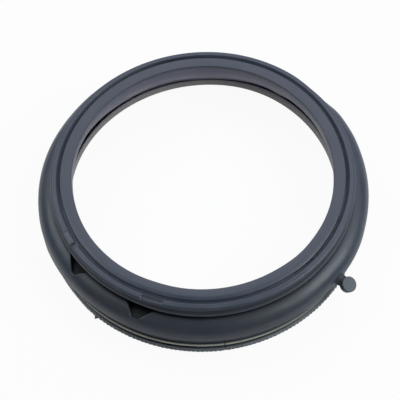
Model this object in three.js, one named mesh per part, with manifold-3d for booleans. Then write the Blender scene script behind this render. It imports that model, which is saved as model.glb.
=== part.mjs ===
// Door seal of a front-loading washing machine, moulded in one piece of rubber.
// Millimetres, +Z up. The seal lies on its rear lip with the front face up, and
// the origin is on the ring's axis in the plane that it lies on.
import * as THREE from "three";
import { ParametricGeometry } from "three/addons/geometries/ParametricGeometry.js";
import { mergeVertices } from "three/addons/utils/BufferGeometryUtils.js";
import Module from "manifold-3d";

// Front ring, from the door opening outwards
const OPENING_RADIUS = 150.7;
const FACE_WIDTH = 13.1; // flat sealing face, from the opening to the wire groove
const FACE_THICKNESS = 4;
const WIRE_GROOVE_WIDTH = 4.6;
const WIRE_GROOVE_DEPTH = 2.6;
const BAND_WIDTH = 6.7; // raised band outside the wire groove
const RING_HEIGHT = 15.6; // side wall of the front ring
const RING_FLARE = 1.1; // how far the side wall leans out on its way down
const EDGE_ROUND = 4; // outer edge of the front ring
const LIP_ROUND = 0.8;

// Channel under the front ring, which grips the edge of the cabinet panel
const CHANNEL_WIDTH = 5;
const CHANNEL_DEPTH = 8;

// Bellows bulge
const BULGE_OVERHANG = 18; // beyond the foot of the front ring
const BULGE_CREST_WIDTH = 20.2; // from the top of the bulge to its outermost point
const BULGE_UPPER_HEIGHT = 16.9;
const BULGE_LOWER_HEIGHT = 14;
const WALL = 3;

// Rear end, from the bulge down to the floor
const WAIST_HEIGHT = 9.3;
const WAIST_DEPTH = 7.8; // how far the waist lies inside the bulge
const RIB_HEIGHT = 3.4;
const RIB_STAND = 2.8; // rib beyond the waist
const CLAMP_GROOVE_WIDTH = 6;
const CLAMP_GROOVE_DEPTH = 3.8;
const REAR_LIP_HEIGHT = 8.8;
const REAR_LIP_WIDTH = 5.6;

// Inner skirt behind the opening, and the apron that faces it
const SKIRT_DEPTH = 38.2;
const SKIRT_FLARE = 10.4;
const SKIRT_THICKNESS = 3;
const SKIRT_SAG = 3.2; // how far the skirt's inner face hangs in from a straight line
const APRON_SETBACK = 6.2; // apron edge outside the opening's radius
const APRON_GAP = 6.7; // apron edge below the skirt's free edge
const APRON_THICKNESS = 2.4;
const APRON_BEAD_WIDTH = 3.4; // upright bead along the apron's edge, under the skirt
const APRON_BEAD_HEIGHT = 4.8;

// Teeth round the rear lip, and the pointed nib among them
const TOOTH_COUNT = 240;
const TOOTH_DEPTH = 0.8;
const TOOTH_HEIGHT = 5.2;
const TOOTH_LIFT = 0.5; // foot of the teeth above the floor
const NIB_AZIMUTH = 228.5;
const NIB_REACH = 3.6;
const NIB_RADIUS = 3.2;

// Two pockets in the bulge's upper slope: the azimuths of their two sides where
// they open under the ring, the azimuth of the tip, and how far out that is
const POCKETS = [
  { from: 206, to: 222.5, tip: 217.8, reach: 19 },
  { from: 234, to: 253, tip: 245.6, reach: 21.5 },
];
const POCKET_DEPTH = 9.5;
const POCKET_RISE = 4; // height above the bulge at which a pocket's sides start
const POCKET_TIP_DROP = 2.7; // tip below the bulge's top
const POCKET_MARGIN = 2; // degrees of rubber beside a pocket

// Shape that the relaxed rubber has taken
const SHOULDER_AZIMUTH = 31;
const SHOULDER_SPREAD = 7;
const SHOULDER_SWELL = 1.3;
const FULL_WALL_FROM = 203;
const FULL_WALL_TO = 217;
const FULL_WALL_FADE = 7;
const FULL_WALL_SWELL = 4.5;
const SKIRT_DENT_AZIMUTH = 53;
const SKIRT_DENT_SPREAD = 5;
const SKIRT_DENT_DEPTH = 1.8;

// Closed stub on the bulge: a neck that runs outwards and an upright round head
const STUB_AZIMUTH = -40;
const STUB_REACH = 13.3; // head axis beyond the bulge
const STUB_FACE_HEIGHT = 42; // head face above the floor
const STUB_HEAD_RADIUS = 8.3;
const STUB_HEAD_LENGTH = 11;
const STUB_HEAD_ROUND = 1.2;
const STUB_LEAN = 20; // degrees that the head leans outwards
const STUB_NECK_RADIUS = 5;
const STUB_ROOT_FLARE = 1.8;
const STUB_SIDES = 20;

// Small moulding marks on the front ring's band, and the seam of the rear end
const NICKS = [206.5, 246.6];
const NICK_WIDTH = 1.4;
const DIMPLE_AZIMUTH = 212.4;
const DIMPLE_SIZE = 2.6;
const DATE_PAD_AZIMUTH = 251.4;
const DATE_PAD_LENGTH = 11;
const MARK_DEPTH = 0.6;
const SEAM_AZIMUTH = 275.4;
const SEAM_WIDTH = 0.9;
const SEAM_DEPTH = 1;

const SECTORS = 80; // flat sectors that the ring is cut into

// Radii worked out from the opening outwards
const grooveInnerRadius = OPENING_RADIUS + FACE_WIDTH;
const grooveOuterRadius = grooveInnerRadius + WIRE_GROOVE_WIDTH;
const ringTopRadius = grooveOuterRadius + BAND_WIDTH;
const ringFootRadius = ringTopRadius + RING_FLARE;
const channelRadius = ringFootRadius - CHANNEL_DEPTH;
const bulgeRadius = ringFootRadius + BULGE_OVERHANG;
const crestRadius = bulgeRadius - BULGE_CREST_WIDTH;
const waistRadius = bulgeRadius - WAIST_DEPTH;
const ribRadius = waistRadius + RIB_STAND;
const clampRadius = ribRadius - CLAMP_GROOVE_DEPTH;
const lipRadius = ribRadius;
const lipInnerRadius = lipRadius - REAR_LIP_WIDTH;
const apronRadius = OPENING_RADIUS + APRON_SETBACK;

// Heights worked out from the floor upwards
const clampTop = REAR_LIP_HEIGHT + CLAMP_GROOVE_WIDTH;
const ribTop = clampTop + RIB_HEIGHT;
const bulgeCentre = ribTop + WAIST_HEIGHT + BULGE_LOWER_HEIGHT;
const bulgeTop = bulgeCentre + BULGE_UPPER_HEIGHT;
const channelTop = bulgeTop + CHANNEL_WIDTH;
const frontHeight = channelTop + RING_HEIGHT;
const skirtEdge = frontHeight - SKIRT_DEPTH;
const apronEdge = skirtEdge - APRON_GAP;
const webHeight = frontHeight - FACE_THICKNESS;

const radians = THREE.MathUtils.degToRad;

// 0 to 1 as a value passes from one end of a span to the other, with soft ends
const rise = (value, from, to) => THREE.MathUtils.smoothstep(value, from, to);

// A bump of height 1 at the centre that fades over the spread
const swell = (azimuth, centre, spread) => Math.exp(-(((azimuth - centre) / spread) ** 2));

// Points of an ellipse's arc, with the angle in degrees, 90 at the top
function arc(centreR, centreZ, halfWidth, halfHeight, angles) {
  return angles.map((angle) => [
    centreR + halfWidth * Math.cos(radians(angle)),
    centreZ + halfHeight * Math.sin(radians(angle)),
  ]);
}

const EDGE_ANGLES = [90, 60, 30, 0];
const UPPER_ANGLES = [90, 80, 70, 58, 45, 24, 0];
const LOWER_ANGLES = [-24, -48];
const INNER_UPPER_ANGLES = [0, 30, 60, 90];
const INNER_LOWER_ANGLES = [-48];

// The closed outline of the rubber at one azimuth, as [radius, height] points:
// out over the front face, down the outside, in along the floor, up the apron,
// round the hollow of the bulge and back down and up the skirt.
function section(azimuth) {
  const shoulder = SHOULDER_SWELL * swell(azimuth, SHOULDER_AZIMUTH, SHOULDER_SPREAD);
  const fullWall =
    FULL_WALL_SWELL *
    rise(azimuth, FULL_WALL_FROM - FULL_WALL_FADE, FULL_WALL_FROM) *
    (1 - rise(azimuth, FULL_WALL_TO, FULL_WALL_TO + FULL_WALL_FADE));
  const dent = SKIRT_DENT_DEPTH * swell(azimuth, SKIRT_DENT_AZIMUTH, SKIRT_DENT_SPREAD);
  const swollen = ([r, z]) => [r + (shoulder * (r - crestRadius)) / BULGE_CREST_WIDTH, z];
  const filled = ([r, z]) => [r + (fullWall * (bulgeCentre - z)) / BULGE_LOWER_HEIGHT, z];
  const hollow = BULGE_CREST_WIDTH - WALL;

  const frontFace = [
    [OPENING_RADIUS, frontHeight - LIP_ROUND],
    [OPENING_RADIUS + LIP_ROUND, frontHeight],
    [grooveInnerRadius, frontHeight],
    [grooveInnerRadius + WIRE_GROOVE_WIDTH * 0.15, frontHeight - WIRE_GROOVE_DEPTH * 0.8],
    [grooveInnerRadius + WIRE_GROOVE_WIDTH * 0.45, frontHeight - WIRE_GROOVE_DEPTH],
    [grooveOuterRadius, frontHeight],
    ...arc(ringTopRadius - EDGE_ROUND, frontHeight - EDGE_ROUND, EDGE_ROUND, EDGE_ROUND, EDGE_ANGLES),
  ];
  const ringSide = [
    [ringFootRadius, channelTop + LIP_ROUND],
    [ringFootRadius - LIP_ROUND, channelTop],
    [channelRadius, channelTop],
    [channelRadius, bulgeTop],
  ];
  const bulge = [
    ...arc(crestRadius, bulgeCentre, BULGE_CREST_WIDTH, BULGE_UPPER_HEIGHT, UPPER_ANGLES),
    ...arc(crestRadius, bulgeCentre, BULGE_CREST_WIDTH, BULGE_LOWER_HEIGHT, LOWER_ANGLES).map(filled),
  ].map(swollen);
  const rear = [
    [waistRadius + fullWall * 0.5, ribTop + WAIST_HEIGHT * 0.5],
    [ribRadius, ribTop],
    [ribRadius, clampTop + RIB_HEIGHT * 0.2],
    [clampRadius, clampTop - CLAMP_GROOVE_DEPTH * 0.3],
    [clampRadius, REAR_LIP_HEIGHT + CLAMP_GROOVE_DEPTH * 0.3],
    [lipRadius, REAR_LIP_HEIGHT],
    [lipRadius, LIP_ROUND],
    [lipRadius - LIP_ROUND, 0],
    [lipInnerRadius, 0],
  ];
  const apron = [
    [lipInnerRadius, REAR_LIP_HEIGHT * 0.6],
    [lipInnerRadius - (lipInnerRadius - apronRadius) * 0.35, apronEdge * 0.72],
    [apronRadius + APRON_THICKNESS * 0.5, apronEdge - APRON_THICKNESS * 0.3],
    [apronRadius, apronEdge],
    [apronRadius + APRON_BEAD_WIDTH, apronEdge + APRON_BEAD_HEIGHT],
    [apronRadius + APRON_BEAD_WIDTH + APRON_THICKNESS, apronEdge + APRON_BEAD_HEIGHT - LIP_ROUND],
    [apronRadius + APRON_BEAD_WIDTH + APRON_THICKNESS * 1.2, apronEdge],
    [lipInnerRadius - (lipInnerRadius - apronRadius) * 0.28, apronEdge * 0.86],
    [clampRadius - WALL, clampTop],
  ];
  const cavity = [
    [waistRadius - WALL, ribTop + WAIST_HEIGHT],
    ...arc(crestRadius, bulgeCentre, hollow, BULGE_LOWER_HEIGHT - WALL, INNER_LOWER_ANGLES)
      .map(filled)
      .map(swollen),
    ...arc(crestRadius, bulgeCentre, hollow, BULGE_UPPER_HEIGHT - WALL, INNER_UPPER_ANGLES).map(swollen),
    [channelRadius - WALL, bulgeTop - WALL],
    [channelRadius - WALL, channelTop],
    [grooveInnerRadius - WALL * 0.5, webHeight],
    [OPENING_RADIUS + SKIRT_THICKNESS + LIP_ROUND, webHeight],
  ];
  const skirt = [
    [OPENING_RADIUS + SKIRT_FLARE + SKIRT_THICKNESS - dent, skirtEdge + SKIRT_THICKNESS * 0.3],
    [OPENING_RADIUS + SKIRT_FLARE + SKIRT_THICKNESS * 0.5 - dent, skirtEdge - SKIRT_THICKNESS * 0.3],
    [OPENING_RADIUS + SKIRT_FLARE - dent, skirtEdge],
    [OPENING_RADIUS + SKIRT_FLARE * 0.5 - SKIRT_SAG - dent * 0.5, frontHeight - SKIRT_DEPTH * 0.5],
  ];
  return [...frontFace, ...ringSide, ...bulge, ...rear, ...apron, ...cavity, ...skirt];
}

// The ring itself, swept round the axis with the section of each azimuth
function ringGeometry() {
  const sections = Array.from({ length: SECTORS }, (_, sector) => section((sector * 360) / SECTORS));
  const pointCount = sections[0].length;
  const place = (u, v, target) => {
    const sector = Math.round(u * SECTORS) % SECTORS;
    const [r, z] = sections[sector][Math.round((1 - v) * pointCount) % pointCount];
    const angle = (sector * Math.PI * 2) / SECTORS;
    target.set(r * Math.cos(angle), r * Math.sin(angle), z);
  };
  return new ParametricGeometry(place, SECTORS, pointCount);
}

const wasm = await Module();
wasm.setup();

// A closed geometry as a solid that can be joined and cut
function toSolid(geometry) {
  const bare = geometry.clone();
  bare.deleteAttribute("normal");
  bare.deleteAttribute("uv");
  const merged = mergeVertices(bare, 1e-4);
  const mesh = new wasm.Mesh({
    numProp: 3,
    vertProperties: new Float32Array(merged.attributes.position.array),
    triVerts: new Uint32Array(merged.index.array),
  });
  return new wasm.Manifold(mesh);
}

function toGeometry(solid) {
  const { vertProperties, triVerts } = solid.getMesh();
  const geometry = new THREE.BufferGeometry();
  geometry.setAttribute("position", new THREE.BufferAttribute(vertProperties, 3));
  geometry.setIndex(new THREE.BufferAttribute(triVerts, 1));
  geometry.computeVertexNormals();
  return geometry;
}

// The toothed band round the rear lip, as a ring with a saw-edged outline
function teethSolid() {
  const outline = new THREE.Shape();
  for (let point = 0; point < TOOTH_COUNT * 2; point += 1) {
    const angle = (point * Math.PI) / TOOTH_COUNT;
    const radius = lipRadius + (point % 2 ? TOOTH_DEPTH * 0.25 : TOOTH_DEPTH);
    const [x, y] = [radius * Math.cos(angle), radius * Math.sin(angle)];
    if (point === 0) outline.moveTo(x, y);
    else outline.lineTo(x, y);
  }
  outline.closePath();
  const hole = new THREE.Path();
  hole.absarc(0, 0, lipRadius - REAR_LIP_WIDTH * 0.3, 0, Math.PI * 2, true);
  outline.holes.push(hole);
  const band = new THREE.ExtrudeGeometry(outline, {
    depth: TOOTH_HEIGHT,
    bevelEnabled: false,
    curveSegments: TOOTH_COUNT / 4,
  });
  band.translate(0, 0, TOOTH_LIFT);
  return toSolid(band);
}

// A box that stands on the ring at an azimuth, with its length along the rim
function blockAt(azimuth, radius, height, [across, along, tall]) {
  const block = new THREE.BoxGeometry(across, along, tall);
  block.translate(radius, 0, height);
  block.rotateZ(radians(azimuth));
  return toSolid(block);
}

// One pocket: the rubber that surrounds it inside the bulge, and its hollow
function pocketSolids({ from, to, tip, reach }) {
  const at = (azimuth, radius, height) => {
    const angle = radians(azimuth);
    return [radius * Math.cos(angle), radius * Math.sin(angle), height];
  };
  const inset = (to - from) * 0.2;
  const floor = bulgeTop - POCKET_DEPTH;
  const mouth = channelRadius + LIP_ROUND;
  const tipHeight = bulgeTop - POCKET_TIP_DROP;
  const shell = wasm.Manifold.hull([
    at(from - POCKET_MARGIN, channelRadius - WALL, bulgeTop - WALL * 0.2),
    at(to + POCKET_MARGIN, channelRadius - WALL, bulgeTop - WALL * 0.2),
    at(from + inset - POCKET_MARGIN, channelRadius - WALL, floor - WALL),
    at(to - inset + POCKET_MARGIN, channelRadius - WALL, floor - WALL),
    at(tip - POCKET_MARGIN, channelRadius + reach - WALL, tipHeight - WALL * 0.5),
    at(tip + POCKET_MARGIN, channelRadius + reach - WALL, tipHeight - WALL * 0.5),
    at(tip - POCKET_MARGIN, channelRadius + reach - WALL, tipHeight - WALL * 1.5),
    at(tip + POCKET_MARGIN, channelRadius + reach - WALL, tipHeight - WALL * 1.5),
  ]);
  const hollow = wasm.Manifold.hull([
    at(from, mouth, bulgeTop + POCKET_RISE),
    at(to, mouth, bulgeTop + POCKET_RISE),
    at(from + inset, mouth, floor),
    at(to - inset, mouth, floor),
    at(tip, channelRadius + reach, tipHeight),
  ]);
  return { shell, hollow };
}

// The pointed nib on the rear lip
function nibSolid() {
  const embedded = REAR_LIP_WIDTH * 0.25;
  const nib = new THREE.ConeGeometry(NIB_RADIUS, NIB_REACH + embedded, 5);
  nib.rotateZ(-Math.PI / 2);
  nib.translate(lipRadius + (NIB_REACH - embedded) / 2, 0, NIB_RADIUS + TOOTH_LIFT);
  nib.rotateZ(radians(NIB_AZIMUTH));
  return toSolid(nib);
}

// The stub: its head is turned about its own leaning axis, and its neck starts
// inside the bulge's wall, on a plane that follows the wall's slope
function stubSolid() {
  const lean = radians(STUB_LEAN);
  const headRadius = bulgeRadius + STUB_REACH;
  const head = new THREE.LatheGeometry(
    [
      new THREE.Vector2(0, -STUB_HEAD_LENGTH),
      new THREE.Vector2(STUB_HEAD_RADIUS - STUB_HEAD_ROUND, -STUB_HEAD_LENGTH),
      new THREE.Vector2(STUB_HEAD_RADIUS, STUB_HEAD_ROUND - STUB_HEAD_LENGTH),
      new THREE.Vector2(STUB_HEAD_RADIUS, -STUB_HEAD_ROUND),
      new THREE.Vector2(STUB_HEAD_RADIUS - STUB_HEAD_ROUND, 0),
      new THREE.Vector2(0, 0),
    ],
    STUB_SIDES,
  );
  head.rotateX(Math.PI / 2);
  head.rotateY(lean);
  head.translate(headRadius, 0, STUB_FACE_HEIGHT);

  const headCentre = {
    r: headRadius - (STUB_HEAD_LENGTH / 2) * Math.sin(lean),
    z: STUB_FACE_HEIGHT - (STUB_HEAD_LENGTH / 2) * Math.cos(lean),
  };
  const rootRadius = bulgeRadius - WALL * 0.5;
  const neckLength = headCentre.r - rootRadius;
  const neck = new THREE.LatheGeometry(
    [
      new THREE.Vector2(0, 0),
      new THREE.Vector2(STUB_NECK_RADIUS + STUB_ROOT_FLARE, 0),
      new THREE.Vector2(STUB_NECK_RADIUS, WALL + STUB_ROOT_FLARE),
      new THREE.Vector2(STUB_NECK_RADIUS, neckLength),
      new THREE.Vector2(0, neckLength),
    ],
    STUB_SIDES,
  );
  neck.rotateZ(-Math.PI / 2);
  neck.translate(rootRadius, 0, headCentre.z);
  const points = neck.attributes.position;
  for (let i = 0; i < points.count; i += 1) {
    const below = (bulgeCentre - points.getZ(i)) / BULGE_LOWER_HEIGHT;
    const away = (points.getX(i) - rootRadius) / neckLength;
    const recede = BULGE_CREST_WIDTH * (1 - Math.sqrt(1 - Math.min(below ** 2, 0.8)));
    points.setX(i, points.getX(i) - recede * (1 - Math.min(away, 1)));
  }
  const stub = toSolid(head).add(toSolid(neck));
  return stub.rotate([0, 0, STUB_AZIMUTH]);
}

// The whole seal: the ring, what stands on it, and the marks cut into it
function sealSolid() {
  const bandRadius = (grooveOuterRadius + ringTopRadius) / 2;
  const nicks = NICKS.map((azimuth) =>
    blockAt(azimuth, ringTopRadius - EDGE_ROUND, frontHeight - EDGE_ROUND * 0.5, [
      EDGE_ROUND,
      NICK_WIDTH,
      EDGE_ROUND,
    ]),
  );
  const marks = [
    blockAt(DIMPLE_AZIMUTH, bandRadius, frontHeight, [DIMPLE_SIZE, DIMPLE_SIZE, MARK_DEPTH * 2]),
    blockAt(DATE_PAD_AZIMUTH, bandRadius, frontHeight, [BAND_WIDTH * 0.45, DATE_PAD_LENGTH, MARK_DEPTH]),
    blockAt(SEAM_AZIMUTH, lipRadius + TOOTH_DEPTH, ribTop / 2, [
      (SEAM_DEPTH + TOOTH_DEPTH) * 2,
      SEAM_WIDTH,
      ribTop * 1.2,
    ]),
  ];
  const pockets = POCKETS.map(pocketSolids);
  let seal = toSolid(ringGeometry()).add(teethSolid()).add(nibSolid()).add(stubSolid());
  pockets.forEach(({ shell, hollow }) => {
    seal = seal.add(shell).subtract(hollow);
  });
  nicks.forEach((nick) => {
    seal = seal.add(nick);
  });
  marks.forEach((mark) => {
    seal = seal.subtract(mark);
  });
  return seal;
}

const rubber = new THREE.MeshStandardMaterial({ color: 0x3c424c, roughness: 0.55, metalness: 0 });

const seal = new THREE.Mesh(toGeometry(sealSolid()), rubber);
seal.name = "door_seal";

const group = new THREE.Group();
group.add(seal);

export default group;
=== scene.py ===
"""Looks of a rubber door seal for a front-loading washing machine.

Metres, in the frame of the solid model: +Z up along the ring's axis, the seal
lying on its rear lip with the front face up. Sizes in the classes are in
millimetres and are turned to metres where a mesh is made.
"""

import logging
import math
import operator
from collections.abc import Iterable, Sequence
from dataclasses import dataclass, field
from enum import Enum
from functools import reduce

import bpy
import numpy as np
from mathutils import Matrix, Vector

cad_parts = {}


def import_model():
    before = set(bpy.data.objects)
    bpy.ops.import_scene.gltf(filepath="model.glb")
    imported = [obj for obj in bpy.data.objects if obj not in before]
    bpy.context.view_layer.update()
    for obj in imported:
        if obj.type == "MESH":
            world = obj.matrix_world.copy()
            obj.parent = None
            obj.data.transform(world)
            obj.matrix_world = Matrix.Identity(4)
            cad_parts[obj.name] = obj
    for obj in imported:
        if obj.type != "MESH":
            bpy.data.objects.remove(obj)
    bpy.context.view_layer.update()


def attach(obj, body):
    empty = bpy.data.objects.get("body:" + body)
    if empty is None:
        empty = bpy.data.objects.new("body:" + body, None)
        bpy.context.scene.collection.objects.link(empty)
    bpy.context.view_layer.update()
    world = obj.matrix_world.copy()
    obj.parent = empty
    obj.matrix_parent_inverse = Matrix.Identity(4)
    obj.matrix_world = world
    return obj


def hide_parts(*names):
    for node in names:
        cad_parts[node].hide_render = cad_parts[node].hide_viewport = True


LOG = logging.getLogger("door_seal")
MM = 0.001
Point = tuple[float, float]
Span = tuple[float, float]
Colour = tuple[float, float, float, float]
Wave = tuple[float, float, float]  # azimuth of its middle, spread in degrees, height
Stretch = tuple[float, float, float, float]  # first azimuth, last azimuth, fade, height


class Body(Enum):
    """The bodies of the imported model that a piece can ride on."""

    ROOT = "root"


class Slot(Enum):
    """The material slots of the record."""

    RUBBER = "rubber"


class Zone(Enum):
    """Stretches of the seal's outline, in the order in which they are drawn."""

    FACE = 0
    GROOVE = 1
    BAND = 2
    SIDE = 3
    CHANNEL = 4
    BULGE = 5
    REAR = 6
    APRON = 7
    CAVITY = 8
    SKIRT = 9


def smooth(value: np.ndarray | float, low: float, high: float) -> np.ndarray | float:
    """Rises from 0 to 1 with soft ends.

    Args:
        value: What is compared with the span.
        low: Where the rise starts.
        high: Where the rise ends.

    Returns:
        0 before the span, 1 after it.
    """
    t = np.clip((value - low) / (high - low), 0.0, 1.0)
    return t * t * (3.0 - 2.0 * t)


def hump(value: float, centre: float, spread: float) -> float:
    """A bump of height 1.

    Args:
        value: Where the bump is read.
        centre: Where it is 1.
        spread: How far from the centre it has fallen to 0.37.

    Returns:
        The bump's height.
    """
    return math.exp(-(((value - centre) / spread) ** 2))


def window(value: float, low: float, high: float, fade: float) -> float:
    """1 inside a span, with soft flanks outside it.

    Args:
        value: Where the window is read.
        low: Start of the span.
        high: End of the span.
        fade: Width of each flank.

    Returns:
        A value from 0 to 1.
    """
    return float(smooth(value, low - fade, low) * (1.0 - smooth(value, high, high + fade)))


def waved(azimuth: float, *waves: Wave) -> float:
    """Adds up waves that lie round the ring.

    Args:
        azimuth: Where they are read, in degrees.
        waves: The waves.

    Returns:
        Their height together.
    """
    return sum(height * hump(azimuth, middle, spread) for middle, spread, height in waves)


def stretched(azimuth: float, stretch: Stretch) -> float:
    """Reads a stretch of the ring that stands out evenly.

    Args:
        azimuth: Where it is read, in degrees.
        stretch: The stretch.

    Returns:
        Its height there.
    """
    return stretch[3] * window(azimuth, *stretch[:3])


def elliptic(centre: Point, half: Point, start: float, end: float, steps: int) -> list[Point]:
    """Points of an ellipse's arc.

    Args:
        centre: Middle of the ellipse.
        half: Its half width and half height.
        start: First angle in degrees, 90 at the top.
        end: Last angle.
        steps: Number of spans between points.

    Returns:
        The points from start to end.
    """
    angles = np.radians(np.linspace(start, end, steps + 1))
    return [(centre[0] + half[0] * math.cos(a), centre[1] + half[1] * math.sin(a)) for a in angles]


def rounded(corners: Sequence[tuple[float, float, float]], steps: int = 3) -> list[Point]:
    """Rounds the inner corners of an open line.

    Args:
        corners: (radius from the axis, height, rounding) of each corner. The
            first and the last are kept as they are.
        steps: Number of spans in each rounded corner.

    Returns:
        The line's points, with every rounding drawn as a soft curve.
    """
    points: list[Point] = [corners[0][:2]]
    for before, here, after in zip(corners, corners[1:], corners[2:]):
        corner, size = np.array(here[:2]), here[2]
        to_before = np.array(before[:2]) - corner
        to_after = np.array(after[:2]) - corner
        reach_in = min(size, 0.45 * float(np.linalg.norm(to_before)))
        reach_out = min(size, 0.45 * float(np.linalg.norm(to_after)))
        start = corner + to_before / np.linalg.norm(to_before) * reach_in
        end = corner + to_after / np.linalg.norm(to_after) * reach_out
        for t in np.linspace(0.0, 1.0, steps + 1):
            bent = (1 - t) ** 2 * start + 2 * t * (1 - t) * corner + t**2 * end
            points.append((float(bent[0]), float(bent[1])))
    points.append(corners[-1][:2])
    return points


@dataclass(frozen=True)
class Pocket:
    """A wedge-shaped pocket in the bulge's upper slope, open to the panel channel.

    Attributes:
        left: Azimuth of its left side at the mouth.
        right: Azimuth of its right side at the mouth.
        tip: Azimuth of its tip.
        reach: Distance of the tip outside the panel channel.
        depth: How deep the mouth is.
        flank: Width of the steep sides.
        ridge: How far the rubber stands up round the sides.
        toe: Half of the tip's width, in degrees.
        left_bend: Power of the curve in which the left side runs to the tip.
        right_bend: Power of the right side's curve.
        margin: How far beside the mouth the ridge can be felt, in degrees.
    """

    left: float
    right: float
    tip: float
    reach: float
    depth: float = 9.5
    flank: float = 2.4
    ridge: float = 0.45
    toe: float = 1.7
    left_bend: float = 0.45
    right_bend: float = 0.85
    margin: float = 3.0

    def drop(self, azimuth: float, radius: np.ndarray, channel_radius: float) -> np.ndarray:
        """How far the pocket lowers the surface.

        Args:
            azimuth: Where it is read, in degrees.
            radius: Distances from the ring's axis.
            channel_radius: Radius of the panel channel's floor.

        Returns:
            The drop at each distance, below 0 on the ridge round the pocket.
        """
        if not self.left - self.margin < azimuth < self.right + self.margin:
            return np.zeros_like(radius)
        share = np.clip((radius - channel_radius) / self.reach, 0.0, 1.0)
        low = self.left + (self.tip - self.toe - self.left) * share**self.left_bend
        high = self.right - (self.right - self.tip - self.toe) * share**self.right_bend
        sides = np.minimum(azimuth - low, high - azimuth) * np.radians(1.0) * radius
        inside = np.minimum(sides, channel_radius + self.reach - radius)
        depth = self.depth * (1.0 - 0.6 * share)
        rim = np.exp(-(((inside + 0.7) / 0.8) ** 2))
        return depth * smooth(inside, 0.0, self.flank) - self.ridge * rim * smooth(share, 0.1, 0.45)


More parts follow.
